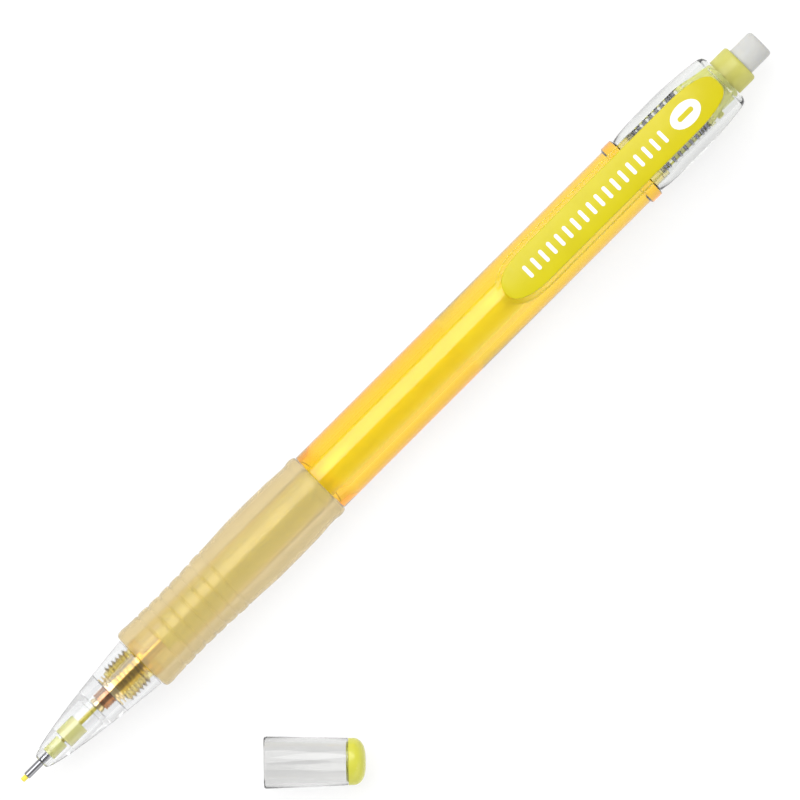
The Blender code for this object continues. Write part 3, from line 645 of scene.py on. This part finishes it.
def make_grip():
    """Soft frosted grip: a rounded nose, shallow rings over a waist, a full belly and a bead at the rear."""
    outline = [(22.6, 3.05), (22.6, 4.35, 0.2), (22.75, 4.65, 0.1), (23.1, 4.82, 0.1), (23.8, 4.87, 0.1)]
    outline += [(station, grip_waist(station), 0.0) for station in steps_between(24.7, 44.5, 180)]
    outline += [(station, eased(GRIP_HEEL, station), 0.0) for station in steps_between(46.0, 54.3, 24)]
    outline += [(54.75, 4.95, 0.0), (54.95, 5.02, 0.0), (55.25, 5.07, 0.0), (55.6, 5.07, 0.0),
                (55.95, 5.01, 0.0), (56.2, 4.92, 0.0), (56.35, 4.8), (56.4, 4.7), (56.4, 3.05)]
    turned("soft_grip", outline, "frosted_rubber", "housing", ["grip"], FINE)


# ---------------------------------------------------------------- knock mechanism

def make_tube():
    """Yellow lead tube inside the barrel."""
    turned("yellow_tube", ring_outline(28.6, 126.9, 2.42, 1.9), "yellow_plastic", "mechanism", ["lead_tube"])


BUTTON_RADIUS, CUP_BORE, FLANGE_RADIUS, NECK_RADIUS = 2.87, 2.13, 3.42, 2.75


def make_button():
    """Push button: a socket for the tube, a flange for the spring, a cup for the eraser and a lug."""
    joint = 132.6
    outline = [(joint, BUTTON_RADIUS, 0.0), (135.6, BUTTON_RADIUS, 0.0), (135.85, 2.85, 0.0),
               (136.02, 2.78, 0.0), (136.14, 2.66, 0.0), (136.2, 2.5, 0.0), (136.2, CUP_BORE, 0.06),
               (joint, CUP_BORE, 0.0)]
    turned("knock_button", outline, "lime_plastic", "mechanism", ["push_button"], FINE)
    stem = [(121.0, NECK_RADIUS), (127.3, NECK_RADIUS), (127.3, FLANGE_RADIUS), (128.1, FLANGE_RADIUS),
            (128.1, BUTTON_RADIUS), (joint, BUTTON_RADIUS, 0.0), (joint, CUP_BORE, 0.0), (128.0, CUP_BORE),
            (128.0, 1.2), (127.0, 1.2), (127.0, 2.46), (121.0, 2.46)]
    # The stem takes the brightened lime as painted light, in place of the light the clip's panel shades off
    # it.
    turned("button_stem", stem, "lime_stem_painted_light", "mechanism", [], FINE, 0.06)
    bm = bmesh.new()
    bmesh.ops.create_cube(bm, size=1.0)
    bmesh.ops.scale(bm, vec=(1.0 * MM, 0.8 * MM, 1.2 * MM), verts=bm.verts)
    bmesh.ops.bevel(bm, geom=bm.edges, offset=0.12 * MM, segments=3, affect="EDGES")
    bmesh.ops.translate(bm, vec=(129.2 * MM, -3.0 * MM, 0.0), verts=bm.verts)
    mesh = finish_mesh("button_lug", bm)
    mesh.transform(PENCIL)
    add_piece("button_lug", mesh, "lime_stem_painted_light", "mechanism", [])


def make_eraser():
    """White eraser stub with soft edges."""
    outline = [(128.1, 0.0), (128.1, 2.08), (139.35, 2.08, 0.0), (139.65, 2.04, 0.0), (139.85, 1.94, 0.0),
               (139.96, 1.78, 0.0), (140.0, 1.55, 0.0), (140.0, 0.0)]
    turned("white_eraser", outline, "white_vinyl", "eraser", ["eraser"])


SPRING_FRONT, SPRING_REAR, SPRING_WIRE, SPRING_RADIUS = 118.1, 127.2, 0.25, 3.2


def make_spring():
    """Dark return spring: closed turns at both ends and open turns between."""
    closed, pitch, opened = 2.5, 0.55, 5.5
    turns = 2 * closed + opened
    open_pitch = (SPRING_REAR - SPRING_FRONT - 2 * SPRING_WIRE - 2 * closed * pitch) / opened
    per_turn, wire_sides = 40, 10
    bm = bmesh.new()
    rings = []
    count = round(turns * per_turn)
    for i in range(count + 1):
        turn = turns * i / count
        wound = min(max(turn - closed, 0.0), opened)
        station = SPRING_FRONT + SPRING_WIRE + wound * open_pitch + (turn - wound) * pitch
        angle = turn * TURN
        outward = Vector((0.0, math.cos(angle), math.sin(angle)))
        middle = Vector((station, 0.0, 0.0)) + outward * SPRING_RADIUS
        ring = []
        for side in range(wire_sides):
            around = TURN * side / wire_sides
            lean = outward * math.cos(around) + Vector((1.0, 0.0, 0.0)) * math.sin(around)
            ring.append(bm.verts.new((middle + lean * SPRING_WIRE) * MM))
        rings.append(ring)
    for one, other in zip(rings, rings[1:]):
        for side in range(wire_sides):
            nxt = (side + 1) % wire_sides
            bm.faces.new((one[side], one[nxt], other[nxt], other[side]))
    bm.faces.new(rings[0])
    bm.faces.new(rings[-1])
    mesh = finish_mesh("coil_spring", bm, 50.0)
    mesh.transform(PENCIL)
    spring = add_piece("coil_spring", mesh, "spring_steel", "housing", ["return_spring"])
    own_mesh(spring)


# ---------------------------------------------------------------- crown and clip

CROWN_OUTSIDE = ((116.55, 4.6), (118.0, 4.83), (120.2, 4.95), (122.5, 5.0), (125.0, 5.0), (127.0, 4.9),
                 (129.0, 4.75), (131.0, 4.55), (132.2, 4.35), (132.8, 4.1), (133.1, 3.6))


def make_crown():
    """Clear rear housing round the spring, with a hole for the button."""
    outline = [(station, smooth_line(CROWN_OUTSIDE, station), 0.05 if station == 116.55 else 0.0)
               for station in steps_between(116.55, 132.2, 48) + steps_between(132.3, 133.1, 8)]
    outline += [(133.1, 2.96), (132.2, 2.96), (132.2, 3.7, 0.3), (121.5, 3.7), (119.05, 3.95), (116.55, 3.95)]
    turned("clear_crown", outline, "clear_crown", "housing", ["crown"], FINE)


CLIP_TIP, CLIP_REAR, CLIP_HALF_WIDTH = 91.25, 133.1, 3.5
CLIP_TIP_TAPER, CLIP_REAR_TAPER, CLIP_TAPER_FULLNESS = 7.0, 1.8, 2.6
CLIP_TOP = ((91.25, 6.5), (93.0, 7.0), (97.0, 7.4), (104.0, 7.6), (122.0, 7.6), (128.0, 7.2), (133.1, 6.0))
CLIP_UNDERSIDE = ((91.25, 5.7), (92.2, 5.45), (93.6, 4.8), (94.6, 4.8), (96.8, 5.55), (125.6, 5.55),
                  (127.0, 5.08), (129.0, 4.92), (131.0, 4.72), (132.4, 4.55), (133.1, 4.65))
RIM, INLAY_THICKNESS, CLIP_CROWN = 0.7, 0.5, 0.42
CLIP_NARROW_FROM, CLIP_NARROW_HALF_WIDTH = 126.5, 2.75
PANEL_REAR_TAPER, PANEL_REAR_FULLNESS, PANEL_REAR_RIM = 5.5, 3.2, 0.35
PANEL_WAIST = ((125.5, 1.0), (132.0, 0.85))


def tapered(distance, length):
    """Share of the full width at a distance from a rounded end."""
    rest = max(0.0, 1.0 - distance / length)
    return (1.0 - rest ** CLIP_TAPER_FULLNESS) ** (1.0 / CLIP_TAPER_FULLNESS)


def clip_half_width(station):
    """Plan outline of the clip: a long rounded tip and a narrower rounded rear."""
    waist = eased(((CLIP_NARROW_FROM, CLIP_HALF_WIDTH), (CLIP_REAR - 1.0, CLIP_NARROW_HALF_WIDTH)), station)
    return waist * tapered(station - CLIP_TIP, CLIP_TIP_TAPER) * tapered(CLIP_REAR - station, CLIP_REAR_TAPER)


def inset_half_width(station, inset):
    """Plan outline of the panel: the clip's drawn in by an inset, with a long elliptical rear end."""
    rear = CLIP_REAR - PANEL_REAR_RIM - inset
    away = max(0.0, station - CLIP_TIP - inset)
    rest = min(1.0, max(0.0, 1.0 - (rear - station) / PANEL_REAR_TAPER))
    blunt = (1.0 - rest ** PANEL_REAR_FULLNESS) ** (1.0 / PANEL_REAR_FULLNESS)
    straight = (CLIP_HALF_WIDTH - inset) * tapered(away, CLIP_TIP_TAPER - inset)
    return straight * blunt * eased(PANEL_WAIST, station)


def clip_height(station, y):
    """Height of the clip's crowned face."""
    return smooth_line(CLIP_TOP, station) - CLIP_CROWN * (y / CLIP_HALF_WIDTH) ** 2


def panel_ends(inset):
    """Front and rear stations of the panel's outline."""
    return CLIP_TIP + inset, CLIP_REAR - PANEL_REAR_RIM - inset


def clip_stations(ends):
    """Stations that crowd towards each rounded end, for outlines with these ends and rear tapers."""
    spots = set()
    steps = 16
    for front, rear, rear_taper in ends:
        for i in range(steps + 1):
            away = 1.0 - math.cos(math.pi / 2 * i / steps)
            spots.add(round(front + CLIP_TIP_TAPER * away, 5))
            spots.add(round(rear - rear_taper * away, 5))
    spots |= {round(s, 5) for s in steps_between(98.0, 126.0, 28)}
    spots |= {round(s, 5) for s in steps_between(126.2, 131.0, 12)}
    return sorted(spots)


def sweep(bm, loops):
    """Faces between neighbouring loops of vertices, which are open and of equal length."""
    for one, other in zip(loops, loops[1:]):
        for i in range(len(one) - 1):
            corners = []
            for vertex in (one[i], one[i + 1], other[i + 1], other[i]):
                if all((vertex.co - corner.co).length > 1e-9 for corner in corners):
                    corners.append(vertex)
            if len(corners) > 2:
                bm.faces.new(corners)


def loop_at(bm, station, section):
    """Vertices of one (y, z) section, in mm, across the clip."""
    return [bm.verts.new((station * MM, y * MM, z * MM)) for y, z in section]


def rim_section(station, inner):
    """From the middle of the underside, round the outside and over the rim to its inner edge, for y >= 0."""
    half = clip_half_width(station)
    low = smooth_line(CLIP_UNDERSIDE, station)
    rounding = min(0.35, 0.5 * max(half - inner, 0.0))
    foot = min(0.15, rounding)
    section = [(half * share, low) for share in (0.0, 0.3, 0.6, 0.85)]
    section = [(min(y, half - foot), z) for y, z in section]
    for i in range(5):
        angle = math.pi / 2 * i / 4
        section.append((half - foot + foot * math.sin(angle), low + foot * (1 - math.cos(angle))))
    for i in range(9):
        angle = math.pi / 2 * i / 8
        y = half - rounding + rounding * math.cos(angle)
        section.append((y, clip_height(station, half) - rounding * (1 - math.sin(angle))
                        + clip_height(station, y) - clip_height(station, half)))
    for i in range(1, 5):
        y = (half - rounding) + (inner - half + rounding) * i / 4
        section.append((y, clip_height(station, y)))
    return section


def recess_section(station, inner):
    """Down the wall of the recess and across its floor to the middle, for y >= 0."""
    depth = INLAY_THICKNESS + CLEARANCE
    section = [(inner, clip_height(station, inner))]
    for share in (1.0, 0.8, 0.6, 0.4, 0.2, 0.0):
        section.append((inner * share, clip_height(station, inner * share) - depth))
    return section


def mirrored(bm):
    """Add the other half, across the XZ plane."""
    copy = bmesh.ops.duplicate(bm, geom=bm.verts[:] + bm.edges[:] + bm.faces[:])["geom"]
    verts = [part for part in copy if isinstance(part, bmesh.types.BMVert)]
    bmesh.ops.scale(bm, vec=(1.0, -1.0, 1.0), verts=verts)


def make_clip():
    """Clear crowned clip arm with a sunk panel."""
    gap = RIM - CLEARANCE
    front, rear = (round(end, 5) for end in panel_ends(gap))
    stations = clip_stations(((CLIP_TIP, CLIP_REAR, CLIP_REAR_TAPER), (front, rear, PANEL_REAR_TAPER)))
    bm = bmesh.new()
    rims, recess = [], []
    for station in stations:
        sunk = front <= station <= rear
        inner = inset_half_width(station, gap) if sunk else 0.0
        rims.append(loop_at(bm, station, rim_section(station, inner)))
        if sunk:
            recess.append(loop_at(bm, station, recess_section(station, inner)))
    sweep(bm, rims)
    sweep(bm, recess)
    mirrored(bm)
    mesh = finish_mesh("clear_clip", bm, 35.0)
    mesh.transform(PENCIL)
    add_piece("clear_clip", mesh, "clear_clip", "clip", ["clip"])


def make_inlay():
    """Yellow crowned panel in the clip's recess."""
    front, rear = (round(end, 5) for end in panel_ends(RIM))
    stations = [s for s in clip_stations(((front, rear, PANEL_REAR_TAPER),)) if front <= s <= rear]
    bm = bmesh.new()
    loops = []
    for station in stations:
        half = inset_half_width(station, RIM)
        edge = min(0.12, 0.5 * half)
        section = [(half * share, clip_height(station, half * share) - INLAY_THICKNESS)
                   for share in (0.0, 0.35, 0.7, 1.0)]
        for i in range(5):
            angle = math.pi / 2 * i / 4
            y = half - edge + edge * math.cos(angle)
            section.append((y, clip_height(station, y) - edge * (1 - math.sin(angle))))
        section += [((half - edge) * share, clip_height(station, (half - edge) * share))
                    for share in (0.85, 0.7, 0.55, 0.4, 0.25, 0.12, 0.0)]
        loops.append(loop_at(bm, station, section))
    sweep(bm, loops)
    mirrored(bm)
    mesh = finish_mesh("yellow_panel", bm, 40.0)
    mesh.transform(PENCIL)
    add_piece("yellow_panel", mesh, "yellow_inlay", "clip", ["clip_inlay"])


def printed_shape(bm, station, length, width, rounding, proud=0.03):
    """A thin plain mark on the panel's middle line, which follows its face; no rounding is an ellipse."""
    sunk = 0.04
    rows, columns = 20, 12
    grid = []
    for i in range(rows + 1):
        u = math.cos(math.pi * (1 - i / rows))
        s = u * length / 2
        corner = max(0.0, abs(s) - (length / 2 - rounding))
        half = width / 2 - rounding + math.sqrt(max(0.0, rounding ** 2 - corner ** 2))
        if rounding == 0.0:
            half = width / 2 * math.sqrt(max(0.0, 1.0 - u * u))
        grid.append([(station + s, half * (2 * j / columns - 1)) for j in range(columns + 1)])
    for level, flip in ((proud, False), (-sunk, True)):
        verts = [[bm.verts.new((s * MM, v * MM, (clip_height(s, v) + level) * MM)) for s, v in row]
                 for row in grid]
        for one, other in zip(verts, verts[1:]):
            for i in range(columns):
                corners = (one[i], one[i + 1], other[i + 1], other[i])
                bm.faces.new(corners[::-1] if flip else corners)
        if level == proud:
            top = verts
    rims = []
    for layer in (top, verts):
        ring = [row[0] for row in layer] + layer[-1][1:-1] + [row[-1] for row in reversed(layer)] \
            + list(reversed(layer[0][1:-1]))
        rims.append(ring)
    for i in range(len(rims[0])):
        j = (i + 1) % len(rims[0])
        bm.faces.new((rims[0][i], rims[0][j], rims[1][j], rims[1][i]))


BAR_COUNT, BAR_FIRST, BAR_PITCH = 18, 96.1, 1.5
OVAL_STATION = 125.85


def add_marks(name, finish, shapes):
    """One printed piece of the given shapes, on the clip's panel."""
    bm = bmesh.new()
    for shape in shapes:
        printed_shape(bm, *shape)
    mesh = finish_mesh(name, bm, 50.0)
    mesh.transform(PENCIL)
    add_piece(name, mesh, finish, "clip", [])


def make_marks():
    """A row of plain white bars, and a plain white oval round a dash, printed on the panel."""
    add_marks("printed_bars", "white_ink",
              [(BAR_FIRST + number * BAR_PITCH, 0.55, 2.0, 0.25) for number in range(BAR_COUNT)])
    add_marks("printed_oval", "white_ink", [(OVAL_STATION, 4.9, 3.2, 0.0)])
    add_marks("printed_dash", "yellow_inlay", [(OVAL_STATION, 2.7, 0.7, 0.34, 0.05)])


# ---------------------------------------------------------------- cap

CAP_FACETS = 32                         # sides of the CAD cap, which lies on one of them
CAP_YAW, CAP_MIDDLE = math.radians(-44.2), (-16.53, -25.93)
DOME_STEPS, DOME_FULLNESS = 24, 0.7


def make_cap():
    """Clear tapered cap and the domed plug that closes it, lying beside the pencil."""
    length, shell_length, mouth, end = 13.7, 11.3, 3.52, 3.18
    facet = math.cos(math.pi / CAP_FACETS)
    pitch = math.atan((mouth - end) * facet / shell_length)
    yaw = CAP_YAW
    middle = Vector((CAP_MIDDLE[0] * MM, CAP_MIDDLE[1] * MM))
    start = middle - Vector((math.cos(yaw), math.sin(yaw))) * length / 2 * MM
    place = (Matrix.Translation((start.x, start.y, mouth * facet * math.cos(pitch) * MM))
             @ Matrix.Rotation(yaw, 4, "Z") @ Matrix.Rotation(pitch, 4, "Y"))
    shell = [(0.0, mouth - 0.2, 0.1), (0.12, mouth - 0.07, 0.1), (0.38, mouth, 0.1),
             (shell_length, end, 0.05), (shell_length, 2.85, 0.05), (0.0, 2.95, 0.12)]
    turned("clear_cap", shell, "clear_cap", "cap", ["cap_shell"], FINE, place=place)
    dome = [(11.0, 0.0), (11.0, 2.75, 0.1), (shell_length + 0.05, 2.75), (shell_length + 0.05, end)]
    for i in range(DOME_STEPS + 1):
        angle = math.pi / 2 * i / DOME_STEPS
        radius = end * math.cos(angle) ** DOME_FULLNESS if i < DOME_STEPS else 0.0
        dome.append((12.0 + 1.7 * math.sin(angle), radius, 0.0))
    turned("lime_dome", dome, "lime_gloss", "cap", ["cap_dome"], FINE, place=place)


# ---------------------------------------------------------------- the whole

def finish_hidden_parts():
    """Give the inner pieces that keep their CAD shape their finishes."""
    finishes = {"chuck_stem": "brass", "tube_connector": "yellow_plastic", "spare_lead_1": "lead_colour",
                "spare_lead_2": "lead_colour", "spare_lead_3": "lead_colour"}
    for node, finish in finishes.items():
        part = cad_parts[node]
        part.data.materials.clear()
        part.data.materials.append(FINISHES[finish])


add_camera()
add_surroundings()
make_nose()
make_writing_parts()
make_jaws()
make_clutch()
make_barrel()
make_grip()
make_tube()
make_button()
make_eraser()
make_spring()
make_crown()
make_clip()
make_inlay()
make_marks()
make_cap()
finish_hidden_parts()
